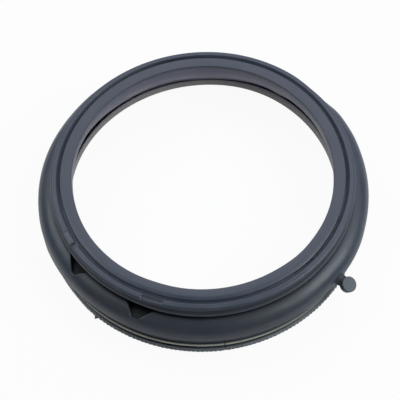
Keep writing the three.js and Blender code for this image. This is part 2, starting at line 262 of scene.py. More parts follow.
@dataclass
class SealSection:
    """The outline of the rubber at one azimuth, and every size that shapes it, in millimetres."""

    # Front ring, from the opening outwards.
    opening_radius: float = 150.7
    face_width: float = 13.1
    face_thickness: float = 4.0
    groove_width: float = 4.6
    groove_depth: float = 3.3
    groove_flank: float = 3.4
    near_slope: float = 1.1
    band_pinch: Wave = (40.5, 5.5, -0.9)
    band_width: float = 6.7
    ring_height: float = 15.6
    ring_flare: float = 1.1
    shoulder_round: Point = (3.4, 2.6)
    band_slope: float = 0.5
    foot_round: Point = (1.3, 1.3)
    foot_stand: float = 0.5
    foot_sag: Stretch = (312.0, 338.0, 16.0, 1.3)
    foot_draw: Wave = (240.0, 15.0, -1.1)
    undercut: float = 1.2
    lip_round: float = 0.8
    # Panel channel, bulge and rear end, from the top down.
    channel_width: float = 5.0
    channel_depth: float = 8.0
    bulge_overhang: float = 18.0
    crest_width: float = 20.2
    upper_height: float = 16.9
    lower_height: float = 14.0
    wall: float = 3.0
    waist_height: float = 9.3
    waist_depth: float = 7.8
    rib_height: float = 3.4
    rib_stand: float = 2.8
    clamp_width: float = 6.0
    clamp_depth: float = 3.8
    lip_height: float = 8.8
    lip_width: float = 5.6
    # Skirt and apron, seen through the opening.
    skirt_depth: float = 38.2
    skirt_flare: float = 10.4
    skirt_thickness: float = 3.0
    skirt_sag: float = 3.2
    apron_setback: float = 8.2
    apron_gap: float = 9.8
    apron_thickness: float = 2.4
    rim_height: float = 8.7
    rim_lean: float = 0.6
    # What the relaxed rubber does: bends, dents and waves.
    shoulder: Wave = (31.0, 7.0, 1.3)
    full_wall: Stretch = (203.0, 217.0, 7.0, 3.375)
    skirt_dent: Wave = (53.0, 5.0, 1.8)
    skirt_shift: float = 1.3
    apron_shift: float = 0.1
    rear_shift: float = -1.1
    far_lean: float = 3.0
    far_draw: float = 0.6
    apron_lean: float = 4.4
    apron_draw: float = 0.9
    apron_side_draw: float = 1.2
    apron_wave: Wave = (68.0, 17.0, 0.8)
    apron_flare: Wave = (52.0, 28.0, 2.2)
    opening_waves: tuple[Wave, ...] = (
        (313.0, 8.5, 0.85),
        (330.0, 9.0, 0.4),
        (249.0, 9.0, -0.65),
        (198.0, 9.0, -0.5),
    )
    skirt_waves: tuple[Wave, ...] = ((48.0, 26.0, 3.2), (156.0, 18.0, 4.4), (88.0, 12.0, -1.0))
    near_spread: Stretch = (228.0, 325.0, 12.0, 1.3)
    bulge_waves: tuple[Wave, ...] = (
        (42.0, 6.0, -3.6),
        (34.5, 4.0, -1.6),
        (19.0, 5.0, 0.7),
        (195.0, 8.0, 0.6),
        (325.0, 5.0, 0.9),
        (333.0, 7.0, 1.2),
        (145.0, 16.0, -1.5),
    )
    seam_azimuth: float = 275.4
    seam_width: float = 0.2
    seam_depth: float = 1.8
    pockets: tuple[Pocket, ...] = (
        Pocket(203.4, 223.2, 217.6, 18.9, toe=0.8, left_bend=0.6),
        Pocket(234.5, 253.6, 244.9, 20.3, toe=1.2),
    )

    def __post_init__(self) -> None:
        """Works out the radii from the opening outwards and the heights from the floor up."""
        self.groove_inner = self.opening_radius + self.face_width
        self.groove_outer = self.groove_inner + self.groove_width
        self.ring_top = self.groove_outer + self.band_width
        self.ring_foot = self.ring_top + self.ring_flare
        self.channel = self.ring_foot - self.channel_depth
        self.bulge = self.ring_foot + self.bulge_overhang
        self.crest = self.bulge - self.crest_width
        self.waist = self.bulge - self.waist_depth
        self.rib = self.waist + self.rib_stand
        self.clamp = self.rib - self.clamp_depth
        self.lip_inner = self.rib - self.lip_width
        self.apron = self.opening_radius + self.apron_setback
        self.clamp_top = self.lip_height + self.clamp_width
        self.rib_top = self.clamp_top + self.rib_height
        self.centre_height = self.rib_top + self.waist_height + self.lower_height
        self.bulge_top = self.centre_height + self.upper_height
        self.channel_top = self.bulge_top + self.channel_width
        self.front = self.channel_top + self.ring_height
        self.skirt_edge = self.front - self.skirt_depth
        self.apron_edge = self.skirt_edge - self.apron_gap
        self.web = self.front - self.face_thickness

    def front_ring(self) -> list[tuple[Zone, list[Point]]]:
        """The front face, the wire groove, the band, the ring's side and the panel channel.

        Returns:
            Each stretch's zone and its points.
        """
        top = self.front
        face = rounded(
            [
                (self.opening_radius, top - 3.0, 0),
                (self.opening_radius, top, 1.0),
                (self.groove_inner - self.groove_flank - 1.0, top, 0.5),
                (self.groove_inner - self.groove_flank + 0.6, top, 0.5),
                (self.groove_inner - 0.9, top, 0.6),
                (self.groove_inner + 0.1, top - 0.25, 0.6),
                (self.groove_inner + 1.0, top - self.groove_depth * 0.72, 0),
            ]
        )
        groove = rounded(
            [
                (self.groove_inner + 1.1, top - self.groove_depth * 0.8, 0),
                (self.groove_inner + 1.8, top - self.groove_depth, 0.3),
                (self.groove_outer - 2.4, top - self.groove_depth, 0.3),
                (self.groove_outer - 0.5, top - 0.9, 0),
            ]
        )
        shoulder = (self.ring_top - self.shoulder_round[0], top - self.shoulder_round[1])
        slope = self.band_slope
        band = rounded(
            [
                (self.groove_outer - 0.35, top - 0.7, 0),
                (self.groove_outer + 0.2, top, 0.7),
                (shoulder[0] - 0.2, top - slope, 0),
            ]
        )
        band += elliptic((shoulder[0], shoulder[1] - slope), self.shoulder_round, 78.0, -12.0, 8)
        foot_out = self.ring_foot + self.foot_stand
        foot = (foot_out - self.foot_round[0], self.channel_top + self.foot_round[1])
        waist = self.ring_top - self.undercut
        side = rounded(
            [
                (self.ring_top - 0.25, shoulder[1] - 1.2, 0),
                (waist, shoulder[1] - 2.4, 0.8),
                (waist, shoulder[1] - 5.0, 1.2),
                (foot_out - 0.1, foot[1] + 1.2, 1.0),
                (foot_out, foot[1] + 0.4, 0),
            ]
        )
        side += elliptic(foot, self.foot_round, 0.0, -90.0, 5)
        channel = rounded(
            [
                (foot[0] - 0.4, self.channel_top, 0),
                (self.channel, self.channel_top, self.lip_round),
                (self.channel, self.bulge_top, self.lip_round),
                (self.channel + 1.6, self.bulge_top, 0),
            ]
        )
        zones = (Zone.FACE, Zone.GROOVE, Zone.BAND, Zone.SIDE, Zone.CHANNEL)
        return list(zip(zones, (face, groove, band, side, channel)))

    def outside(self) -> list[tuple[Zone, list[Point]]]:
        """The bulge and the rear end down to the floor.

        Returns:
            Each stretch's zone and its points.
        """
        centre = (self.crest, self.centre_height)
        upper = elliptic(centre, (self.crest_width, self.upper_height), 90.0, 0.0, 26)
        lower = elliptic(centre, (self.crest_width, self.lower_height), -6.0, -48.0, 7)
        rear = rounded(
            [
                (self.waist + 0.3, self.rib_top + self.waist_height * 0.55, 0),
                (self.waist, self.rib_top + 1.2, 1.5),
                (self.rib, self.rib_top, 1.0),
                (self.rib, self.clamp_top + 0.5, 0.9),
                (self.clamp, self.clamp_top - 1.0, 0.8),
                (self.clamp, self.lip_height + 1.0, 0.8),
                (self.rib, self.lip_height, 0.9),
                (self.rib, 0.0, self.lip_round),
                (self.lip_inner, 0.0, 0.5),
                (self.lip_inner, self.lip_height * 0.6, 0),
            ]
        )
        return [(Zone.BULGE, upper + lower), (Zone.REAR, rear)]

    def inside(self) -> list[tuple[Zone, list[Point]]]:
        """The apron, the hollow of the bulge and the skirt.

        Returns:
            Each stretch's zone and its points.
        """
        span = self.lip_inner - self.apron
        rim = self.apron_edge + self.rim_height
        outer = self.apron + self.rim_lean + self.apron_thickness
        apron = rounded(
            [
                (self.lip_inner - 0.6, self.lip_height * 0.7, 0),
                (self.lip_inner - span * 0.35, self.apron_edge * 0.62, 4.0),
                (self.apron + self.apron_thickness * 0.5, self.apron_edge - self.apron_thickness * 0.5, 0.6),
                (self.apron, self.apron_edge, 0.7),
                (self.apron + self.rim_lean, rim - 0.6, 0.7),
                (self.apron + self.rim_lean + 0.9, rim, 0.5),
                (outer, rim - self.lip_round, 0.6),
                (outer + 0.4, self.apron_edge, 1.0),
                (self.lip_inner - span * 0.28, self.apron_edge * 0.8, 4.0),
                (self.clamp - self.wall, self.clamp_top, 0),
            ],
            steps=2,
        )
        centre, hollow = (self.crest, self.centre_height), self.crest_width - self.wall
        cavity = [(self.waist - self.wall, self.rib_top + self.waist_height)]
        cavity += elliptic(centre, (hollow, self.lower_height - self.wall), -48.0, -12.0, 1)
        cavity += elliptic(centre, (hollow, self.upper_height - self.wall), 0.0, 90.0, 4)
        cavity += [
            (self.channel - self.wall, self.bulge_top - self.wall),
            (self.channel - self.wall, self.channel_top),
            (self.groove_inner - self.wall * 0.5, self.web),
            (self.opening_radius + self.skirt_thickness + 2.0, self.web),
        ]
        edge = self.opening_radius + self.skirt_flare
        skirt = rounded(
            [
                (self.opening_radius + self.skirt_thickness, self.web - 1.5, 0),
                (edge + self.skirt_thickness, self.skirt_edge + 0.9, 0.9),
                (edge + self.skirt_thickness * 0.5, self.skirt_edge - 0.9, 0.9),
                (edge, self.skirt_edge, 0.6),
                (edge - 1.2, self.skirt_edge + 4.0, 0),
            ],
            steps=2,
        )
        start = np.array([edge - 1.2, self.skirt_edge + 4.0])
        end = np.array([self.opening_radius, self.front - 3.2])
        middle = np.array([(start[0] + end[0]) * 0.5 - self.skirt_sag, self.front - self.skirt_depth * 0.5])
        control = 2 * middle - 0.5 * (start + end)
        for t in np.linspace(0.0, 1.0, 11)[1:]:
            bent = (1 - t) ** 2 * start + 2 * t * (1 - t) * control + t**2 * end
            skirt.append((float(bent[0]), float(bent[1])))
        return [(Zone.APRON, apron), (Zone.CAVITY, cavity), (Zone.SKIRT, skirt)]

    def plain(self) -> tuple[np.ndarray, np.ndarray]:
        """The closed outline before the rubber's own shape is put on it.

        Returns:
            The points as rows of radius and height, and each point's zone.
        """
        stretches = self.front_ring() + self.outside() + self.inside()
        points = np.array([point for _, line in stretches for point in line])
        zones = np.array([zone.value for zone, line in stretches for _ in line])
        return points, zones

    def at(self, azimuth: float, points: np.ndarray, zones: np.ndarray) -> np.ndarray:
        """The outline at one azimuth, with what the relaxed rubber does there.

        Args:
            azimuth: Where the ring is cut, in degrees.
            points: The plain outline.
            zones: The zone of each point.

        Returns:
            The bent outline.
        """
        r, z = points[:, 0].copy(), points[:, 1].copy()
        bulge, rear, cavity, skirt, apron, channel, face = (
            zones == zone.value
            for zone in (Zone.BULGE, Zone.REAR, Zone.CAVITY, Zone.SKIRT, Zone.APRON, Zone.CHANNEL, Zone.FACE)
        )
        ring = np.isin(zones, (Zone.BAND.value, Zone.SIDE.value))
        across = math.cos(math.radians(azimuth))
        over = np.clip((points[:, 0] - self.crest) / self.crest_width, 0, 1)
        upper = points[:, 1] > self.centre_height

        # The bulge, its full wall on the lower left and its pockets.
        r += (bulge | cavity) * over * waved(azimuth, self.shoulder)
        below = np.clip((self.centre_height - points[:, 1]) / (self.centre_height - self.rib_top), 0, 1)
        waist = bulge | (rear & (points[:, 1] > self.rib_top))
        r += waist * np.sin(np.pi * below) * stretched(azimuth, self.full_wall)
        open_skin = bulge | cavity | (channel & (points[:, 1] < self.bulge_top + 0.7))
        for pocket in self.pockets:
            z -= (open_skin & upper) * pocket.drop(azimuth, points[:, 0], self.channel)

        # The front ring: its inner slope, the pinched band and the sagging foot.
        near = float(smooth(-math.sin(math.radians(azimuth)), -0.1, 0.8))
        slope = smooth(points[:, 0], self.groove_inner - self.groove_flank - 1.5, self.groove_inner + 1.0)
        z -= face * slope * near * self.near_slope
        pinch = np.clip((points[:, 0] - self.groove_outer) / self.band_width, 0, 1)
        r += ring * pinch * waved(azimuth, self.band_pinch)
        foot = np.isin(zones, (Zone.SIDE.value, Zone.CHANNEL.value)) * (
            smooth(z, self.channel_top - 0.6, self.channel_top - 0.5)
            * (1.0 - smooth(z, self.channel_top + 1.0, self.channel_top + 8.0))
        )
        r += foot * waved(azimuth, self.foot_draw)
        z -= foot * stretched(azimuth, self.foot_sag)

        # The skirt and the apron, and how the lower half spreads.
        hang = self.hang(points[:, 1])
        r += skirt * hang * (self.skirt_shift * across - waved(azimuth, self.skirt_dent) * hang)
        r += apron * np.clip((points[:, 1] - 8.0) / 20.0, 0, 1) * self.apron_shift * across
        sink = np.clip((self.centre_height - points[:, 1]) / self.centre_height, 0, 1)
        r += (bulge | rear) * sink * self.rear_shift * across
        r += (bulge | rear) * np.clip(sink * 1.6, 0, 1) * stretched(azimuth, self.near_spread)
        r += bulge * over * waved(azimuth, *self.bulge_waves)
        r -= (rear & (points[:, 0] > self.clamp - 0.5)) * self.seam(azimuth)
        return np.stack([r, z], axis=1)

    def hang(self, heights: np.ndarray) -> np.ndarray:
        """How far down the skirt heights lie: 0 below the front face, 1 at the skirt's free edge."""
        top = self.front - self.face_thickness
        return np.clip((top - heights) / (self.skirt_depth - self.face_thickness), 0, 1)

    def seam(self, azimuth: float) -> float:
        """How deep the mould seam of the rear end is at an azimuth."""
        return self.seam_depth * window(azimuth, self.seam_azimuth, self.seam_azimuth, self.seam_width)

    def rear_radius(self, azimuth: float) -> float:
        """Radius of the rear lip's side at an azimuth."""
        shift = self.rear_shift * math.cos(math.radians(azimuth))
        return self.rib + shift + stretched(azimuth, self.near_spread)

    def lean(self, azimuth: float, heights: np.ndarray, zones: np.ndarray) -> np.ndarray:
        """How far the ring's far part leans over to the right, and its apron and skirt in and out.

        Args:
            azimuth: Where it is read, in degrees.
            heights: The height of each point.
            zones: The zone of each point.

        Returns:
            The shift in x and y of each point.
        """
        far = max(math.sin(math.radians(azimuth)), 0.0) ** 2
        face, skirt, apron, channel = (
            zones == zone.value for zone in (Zone.FACE, Zone.SKIRT, Zone.APRON, Zone.CHANNEL)
        )
        front = face | skirt | np.isin(zones, (Zone.GROOVE.value, Zone.BAND.value, Zone.SIDE.value))
        along = far * (self.far_lean * (front + 0.5 * channel) + self.apron_lean * apron)
        draw = -far * (self.apron_draw * apron + self.far_draw * front)
        draw -= (1.0 - far) * self.apron_side_draw * apron
        hang = self.hang(heights)
        flared = smooth(heights, self.apron_edge, self.apron_edge + self.rim_height)
        draw += apron * (waved(azimuth, self.apron_wave) + waved(azimuth, self.apron_flare) * flared)
        draw += (face + skirt * (1 - hang)) * waved(azimuth, *self.opening_waves)
        draw += skirt * hang * waved(azimuth, *self.skirt_waves)
        angle = math.radians(azimuth)
        return np.stack([along + draw * math.cos(angle), draw * math.sin(angle)], axis=1)


@dataclass(frozen=True)
class BandMark:
    """A small mark on the raised band of the front ring.

    Attributes:
        azimuth: Middle of the mark, in degrees.
        length: Along the rim, in millimetres.
        radius: Distance of its middle from the ring's axis.
        width: Across the rim.
        height: How far it stands up, or is sunk where negative.
        hollow: True for a frame, whose inside stays level.
        edge: Width of the mark's sloping edge.
        frame: Width of a hollow mark's frame.
    """

    azimuth: float
    length: float
    radius: float
    width: float
    height: float
    hollow: bool = False
    edge: float = 0.35
    frame: float = 0.7

    def half_span(self) -> float:
        """Half of the mark's length, in degrees."""
        return math.degrees(self.length / 2 / self.radius)

    def lift(self, azimuth: float, radius: np.ndarray) -> np.ndarray:
        """How far the surface moves up.

        Args:
            azimuth: Where it is read, in degrees.
            radius: Distances from the ring's axis.

        Returns:
            The lift at each distance.
        """
        along = abs(azimuth - self.azimuth) * math.radians(1.0) * self.radius
        across = np.abs(radius - self.radius)

        def inside(shrink: float) -> np.ndarray:
            """1 within the mark's outline drawn in by a distance.

            Args:
                shrink: The distance.

            Returns:
                A value from 0 to 1 at each distance from the axis.
            """
            low_along, low_across = self.length / 2 - shrink, self.width / 2 - shrink
            ends = 1.0 - smooth(along, low_along - self.edge, low_along)
            sides = 1.0 - smooth(across, low_across - self.edge, low_across)
            return ends * sides

        return self.height * (inside(0.0) - (inside(self.frame) if self.hollow else 0.0))


@dataclass(frozen=True)
class MeshPlan:
    """Vertices and faces of a mesh, in millimetres."""

    vertices: np.ndarray
    faces: list[tuple[int, ...]]

    def build(self, name: str, smooth_faces: bool = True) -> bpy.types.Object:
        """Makes the object.

        Args:
            name: The object's name.
            smooth_faces: True to shade the faces smoothly.

        Returns:
            The new object, linked to the scene.
        """
        mesh = bpy.data.meshes.new(name)
        mesh.from_pydata((self.vertices * MM).tolist(), [], self.faces)
        mesh.polygons.foreach_set("use_smooth", [smooth_faces] * len(mesh.polygons))
        mesh.validate()
        mesh.update()
        made = bpy.data.objects.new(name, mesh)
        bpy.context.scene.collection.objects.link(made)
        return made


def swept(rings: np.ndarray, closed_round: bool = True, closed_section: bool = True) -> MeshPlan:
    """Joins rings of points with quads.

    Args:
        rings: Array of ring, point and coordinate.
        closed_round: True where the last ring meets the first.
        closed_section: True where each ring's last point meets its first.

    Returns:
        The plan of the mesh.
    """
    count, size = rings.shape[:2]
    faces = []
    for ring in range(count if closed_round else count - 1):
        here, there = ring * size, (ring + 1) % count * size
        for point in range(size if closed_section else size - 1):
            onward = (point + 1) % size
            faces.append((here + point, here + onward, there + onward, there + point))
    return MeshPlan(rings.reshape(-1, 3), faces)


def turned(outline: np.ndarray, azimuth: float) -> np.ndarray:
    """Sets an outline of radius and height up at an azimuth.

    Args:
        outline: Rows of radius and height.
        azimuth: In degrees.

    Returns:
        Rows of x, y and z.
    """
    angle = math.radians(azimuth)
    return np.stack([outline[:, 0] * math.cos(angle), outline[:, 0] * math.sin(angle), outline[:, 1]], axis=1)


class Value:
    """A number that varies over a surface, as a node's output socket, with arithmetic."""

    def __init__(self, tree: bpy.types.NodeTree, socket: bpy.types.NodeSocket) -> None:
        """Keeps the node tree and the socket.

        Args:
            tree: The tree that the socket is in.
            socket: The output that gives the number.
        """
        self.tree = tree
        self.socket = socket

    def _math(self, operation: str, *operands: "Value | float") -> "Value":
        """Adds a Math node.

        Args:
            operation: The node's operation.
            operands: Its inputs, as values or numbers.

        Returns:
            The node's result.
        """
        made = self.tree.nodes.new("ShaderNodeMath")
        made.operation = operation
        for slot, operand in zip(made.inputs, operands):
            if isinstance(operand, Value):
                self.tree.links.new(operand.socket, slot)
            else:
                slot.default_value = operand
        return Value(self.tree, made.outputs[0])

    def __add__(self, other: "Value | float") -> "Value":
        """The sum."""
        return self._math("ADD", self, other)

    def __radd__(self, other: float) -> "Value":
        """The sum with a number on the left."""
        return self._math("ADD", other, self)

    def __sub__(self, other: "Value | float") -> "Value":
        """The difference."""
        return self._math("SUBTRACT", self, other)

    def __rsub__(self, other: float) -> "Value":
        """A number minus this value."""
        return self._math("SUBTRACT", other, self)

    def __mul__(self, other: "Value | float") -> "Value":
        """The product."""
        return self._math("MULTIPLY", self, other)

    def __truediv__(self, other: "Value | float") -> "Value":
        """The quotient."""
        return self._math("DIVIDE", self, other)

    def root(self) -> "Value":
        """The square root."""
        return self._math("SQRT", self)

    def angle(self, other: "Value") -> "Value":
        """The angle of a point with this value as its y and the other as its x."""
        return self._math("ARCTAN2", self, other)

    def clipped(self) -> "Value":
        """The value held between 0 and 1."""
        return self._math("MAXIMUM", self._math("MINIMUM", self, 1.0), 0.0)

    def between(self, low: float, high: float) -> "Value":
        """0 below a span and 1 above it, rising evenly inside it."""
        return ((self - low) / (high - low)).clipped()


class Shader:
    """The node tree of a material or of the world, with one method that adds any node."""

    def __init__(self, owner: bpy.types.Material | bpy.types.World) -> None:
        """Empties the owner's node tree.

        Args:
            owner: What the nodes belong to.
        """
        owner.use_nodes = True
        self.tree = owner.node_tree
        self.tree.nodes.clear()

    def add(
        self,
        kind: str,
        settings: dict[str, object] | None = None,
        inputs: dict[str | int, object] | None = None,
    ) -> bpy.types.Node:
        """Adds a node.

        Args:
            kind: The node's type.
            settings: Attributes that are set first.
            inputs: Numbers, colours, sockets or Values for its input sockets.

        Returns:
            The node.
        """
        made = self.tree.nodes.new(kind)
        for name, value in (settings or {}).items():
            setattr(made, name, value)
        for key, value in (inputs or {}).items():
            target = made.inputs[key]
            if isinstance(value, Value):
                self.tree.links.new(value.socket, target)
            elif isinstance(value, bpy.types.NodeSocket):
                self.tree.links.new(value, target)
            else:
                target.default_value = value
        return made

    def value(self, socket: bpy.types.NodeSocket) -> Value:
        """Wraps a socket for arithmetic."""
        return Value(self.tree, socket)

    def axes(self, place: bpy.types.NodeSocket) -> list[Value]:
        """The x, y and z of a place, as values."""
        return [self.value(axis) for axis in self.add("ShaderNodeSeparateXYZ", None, {0: place}).outputs]

    def blended(self, factor: Value, first: object, second: object) -> bpy.types.NodeSocket:
        """Mixes two colours.

        Args:
            factor: How much of the second shows.
            first: A colour or a colour socket.
            second: Another.

        Returns:
            The mixed colour's socket.
        """
        return self.add("ShaderNodeMix", {"data_type": "RGBA"}, {0: factor, 6: first, 7: second}).outputs[2]

    def seen(self, straight: float, mirrored: Value | float) -> Value:
        """How much of the white backdrop a ray sees, in place of what lights the seal.

        Args:
            straight: The share for the camera, and for what passes through glass.
            mirrored: The share for reflections.

        Returns:
            The share of the ray at hand, and 0 for light that only bounces.
        """
        path = self.add("ShaderNodeLightPath").outputs
        looked = self.value(path["Is Camera Ray"]) + self.value(path["Is Transmission Ray"])
        return (looked * straight + self.value(path["Is Glossy Ray"]) * mirrored).clipped()

    def noise(self, where: bpy.types.NodeSocket, scale: float, detail: float, roughness: float) -> Value:
        """Noise from 0 to 1.

        Args:
            where: The coordinates' socket.
            scale: Its scale.
            detail: Its detail.
            roughness: Its roughness.

        Returns:
            The noise as a value.
        """
        inputs = {"Vector": where, "Scale": scale, "Detail": detail, "Roughness": roughness}
        return self.value(self.add("ShaderNodeTexNoise", None, inputs).outputs[0])


@dataclass(frozen=True)
class Area:
    """An area of the seal with soft edges.

    Each edge is the pair of places between which the area fades in or out, in
    metres from the ring's axis, in radians about it or in metres above the floor.

    Attributes:
        inner: Where it starts, going out from the axis.
        outer: Where it ends, going out.
        first: Where it starts, going round.
        last: Where it ends, going round.
        bottom: Where it starts, going up.
        top: Where it ends, going up.
    """

    inner: Span | None = None
    outer: Span | None = None
    first: Span | None = None
    last: Span | None = None
    bottom: Span | None = None
    top: Span | None = None

    def mask(self, radius: Value, turn: Value, height: Value) -> Value:
        """How much of the area shows.

        Args:
            radius: Distance from the ring's axis.
            turn: Angle about it.
            height: Height above the floor.

        Returns:
            1 inside the area and 0 outside it.
        """
        starts = ((radius, self.inner), (turn, self.first), (height, self.bottom))
        ends = ((radius, self.outer), (turn, self.last), (height, self.top))
        edges = [value.between(*span) for value, span in starts if span]
        edges += [1.0 - value.between(*span) for value, span in ends if span]
        return reduce(operator.mul, edges)


REAR_END: Span = (0.1835, 0.1845)
BAND_START: Span = (0.1690, 0.1694)
BAND_TOP: Span = (0.0735, 0.0740)


class Place(Enum):
    """The areas of the seal that look different from the plain rubber."""

    # Where the painted light on the skirt shows.
    SKIRT = Area(outer=(0.1635, 0.1660), top=(0.0740, 0.0768))
    # Where the painted light on the apron shows.
    APRON = Area(outer=(0.1680, 0.1720), top=(0.0395, 0.0402))
    # Where the painted shade on the near side of the bulge shows.
    NEAR_BULGE = Area((0.1760, 0.1790), first=(-2.6, -2.2), last=(-1.1, -0.7), top=(0.0585, 0.0600))
    # Where painted shade darkens the pockets, by how deep a point lies.
    UPPER_BULGE = Area((0.1675, 0.1685), bottom=(0.0430, 0.0460), top=(0.0578, 0.0584))
    LIP = Area(REAR_END, top=(0.0078, 0.0092))
    LIP_RIGHT = Area(first=(-1.15, -0.75))
    # Where the painted highlight along the rib's outer edge shows; the next two areas make it stronger on the
    # near side and weaker on the right.
    RIB = Area((0.1890, 0.1899), bottom=(0.0152, 0.0158), top=(0.0184, 0.0194))
    RIB_NEAR = Area(first=(-2.5, -2.1), last=(-0.95, -0.65))
    RIB_RIGHT = Area(first=(-1.3, -0.95))
    # Where painted shade darkens the clamp groove.
    CLAMP_GROOVE = Area(REAR_END, (0.1882, 0.1893), bottom=(0.0079, 0.0087), top=(0.0142, 0.0150))
    # Where painted shade darkens the seam's cut.
    SEAM = Area(REAR_END, first=(-1.4800, -1.4785), last=(-1.4745, -1.4730), top=(0.0215, 0.0225))
    # Where painted shade darkens the sunk notch.
    NOTCH = Area(BAND_START, first=(-2.596, -2.588), last=(-2.566, -2.558), bottom=BAND_TOP)
    PATCH = Area(BAND_START, first=(-2.706, -2.702), last=(-2.601, -2.597), bottom=BAND_TOP)
    PAD = Area(BAND_START, (0.1728, 0.1732), (-1.999, -1.996), (-1.852, -1.849), bottom=BAND_TOP)
    # Where painted shade darkens the ring's undercut side.
    RING_SIDE = Area((0.1725, 0.1735), (0.1785, 0.1790), bottom=(0.0665, 0.0685), top=(0.0750, 0.0768))
    # Where painted shade darkens the wire groove.
    WIRE_GROOVE = Area((0.1636, 0.1646), (0.1660, 0.1670), bottom=(0.0700, 0.0720), top=(0.0772, 0.0786))
    # Where painted shade darkens the panel channel under the ring.
    CHANNEL = Area((0.1675, 0.1680), (0.1752, 0.1785), bottom=(0.0570, 0.0582), top=(0.0628, 0.0636))


@dataclass(frozen=True)
class RubberFinish:
    """Moulded grey rubber: satin, slightly bluish, with a fine grain and a trace of dust.

    Attributes:
        name: The material's name.
        colour: The rubber's own colour.
        worn: Colour where handling has left a paler film.
        skirt: Colour inside the opening: a lighter lilac grey, painted light as if lit from the floor inside
            the ring.
        apron: Colour of the apron: a pale brownish grey, painted light where the light through the opening
            falls on it.
        side: Colour of the painted shade on the ring's fluted side, in the sunk notch on the band and in the
            wire groove.
        near_bulge_shade: Colour of the near part of the bulge: a duller grey, painted shade for how light
            falls on that side.
        pale: Colour of the small pale patch on the band.
        dusty: Colour of the pad on the band.
        lip: Colour of the rear lip, paler than the rest of the rubber.
        rib_highlight: Colour of the painted highlight along the rib's outer edge.
        recess_shade: Colour of the painted shade in the clamp groove, the panel channel, the pockets and the
            seam.
        speckle: Colour of the small specks.
        roughness: Roughness of the clean surface.
        grain: Depth of the fine grain, in metres.
        pocket_start: Depths below the bulge's skin at which the painted shade in a pocket fades in, in
            metres.
    """

    name: str = "seal_rubber"
    colour: Colour = (0.041, 0.056, 0.082, 1.0)
    worn: Colour = (0.061, 0.078, 0.107, 1.0)
    # Painted light: the skirt inside the opening is lighter, as if lit from the floor inside the ring.
    skirt: Colour = (0.118, 0.120, 0.190, 1.0)
    # Painted light: the apron is pale where the light through the opening falls on it.
    apron: Colour = (0.250, 0.230, 0.235, 1.0)
    # Painted shade: near black for the ring's undercut side, the notch and the wire groove.
    side: Colour = (0.016, 0.020, 0.030, 1.0)
    # Painted shade: the bulge's near side in a duller grey.
    near_bulge_shade: Colour = (0.051, 0.058, 0.074, 1.0)
    pale: Colour = (0.095, 0.108, 0.135, 1.0)
    dusty: Colour = (0.052, 0.050, 0.052, 1.0)
    lip: Colour = (0.27, 0.29, 0.31, 1.0)
    # Painted highlight: a cream line along the rib's outer edge.
    rib_highlight: Colour = (0.78, 0.78, 0.64, 1.0)
    # Painted shade: near black for the clamp groove, the panel channel, the pockets and the seam.
    recess_shade: Colour = (0.010, 0.011, 0.014, 1.0)
    speckle: Colour = (0.160, 0.165, 0.175, 1.0)
    roughness: float = 0.36
    grain: float = 0.00006
    pocket_start: Span = (0.0010, 0.0045)

    def sunk(self, radius: Value, height: Value) -> Value:
        """How far into a pocket a point lies, from the bulge's skin without pockets.

        Args:
            radius: Distance from the ring's axis.
            height: Height above the floor.

        Returns:
            0 on the bulge's skin and 1 deep in a pocket.
        """
        s = SealSection()
        out = (radius - s.crest * MM) / (s.crest_width * MM)
        skin = s.centre_height * MM + (1.0 - out * out).clipped().root() * (s.upper_height * MM)
        return (skin - height).between(*self.pocket_start)

    def make(self) -> bpy.types.Material:
        """Builds the material.

        Returns:
            The rubber's material.
        """
        material = bpy.data.materials.new(self.name)
        shader = Shader(material)
        where = shader.add("ShaderNodeTexCoord").outputs["Object"]
        x, y, height = shader.axes(where)
        radius, turn = (x * x + y * y).root(), y.angle(x)
        at = {area: area.value.mask(radius, turn, height) for area in Place}

        along_rim = {0: radius * 60.0, 1: turn * 1.6, 2: height * 60.0}
        streaks = shader.noise(shader.add("ShaderNodeCombineXYZ", None, along_rim).outputs[0], 3.0, 4.0, 0.55)
        cloud = shader.noise(where, 28.0, 3.0, 0.5)
        speck = shader.noise(where, 900.0, 2.0, 0.6)
        fine = shader.noise(where, 1500.0, 3.0, 0.7)
        film = (streaks.between(0.35, 0.75) * 0.6 + cloud.between(0.4, 0.7) * 0.4).clipped()

        lip = at[Place.LIP] * (1.0 - at[Place.LIP_RIGHT] * 0.5)
        # Strength of the painted highlight on the rib's edge, by side.
        rib = at[Place.RIB] * (0.15 + at[Place.RIB_NEAR] * 0.85) * (1.0 - at[Place.RIB_RIGHT] * 0.6)
        side, clamp, channel = at[Place.RING_SIDE], at[Place.CLAMP_GROOVE], at[Place.CHANNEL]
        # Masks of the painted shade in the pockets and in the other recesses.
        pocket = at[Place.UPPER_BULGE] * self.sunk(radius, height)
        recess_shade_mask = (clamp * 0.85 + channel * 0.9 + pocket * 0.95 + at[Place.SEAM] * 0.85).clipped()
        base: object = self.colour
        for amount, colour in (
            (film * 0.7, self.worn),
            # Painted shade on the near side of the bulge.
            (at[Place.NEAR_BULGE] * 0.75, self.near_bulge_shade),
            # Painted light on the skirt inside the opening.
            (at[Place.SKIRT], self.skirt),
            # Painted light on the apron.
            (at[Place.APRON], self.apron),
            (lip, self.lip),
            # Painted highlight along the rib's edge.
            (rib * (0.65 + streaks * 0.35), self.rib_highlight),
            # Painted shade on the ring's side and in the notch.
            ((side * 0.7 + at[Place.NOTCH] * 0.5).clipped(), self.side),
            (at[Place.PATCH] * 0.6, self.pale),
            (at[Place.PAD] * 0.6, self.dusty),
            # Painted shade in the wire groove.
            (at[Place.WIRE_GROOVE] * 0.75, self.side),
            # Painted shade in the recesses.
            (recess_shade_mask, self.recess_shade),
            (speck.between(0.68, 0.76) * 0.22, self.speckle),
        ):
            base = shader.blended(amount, base, colour)

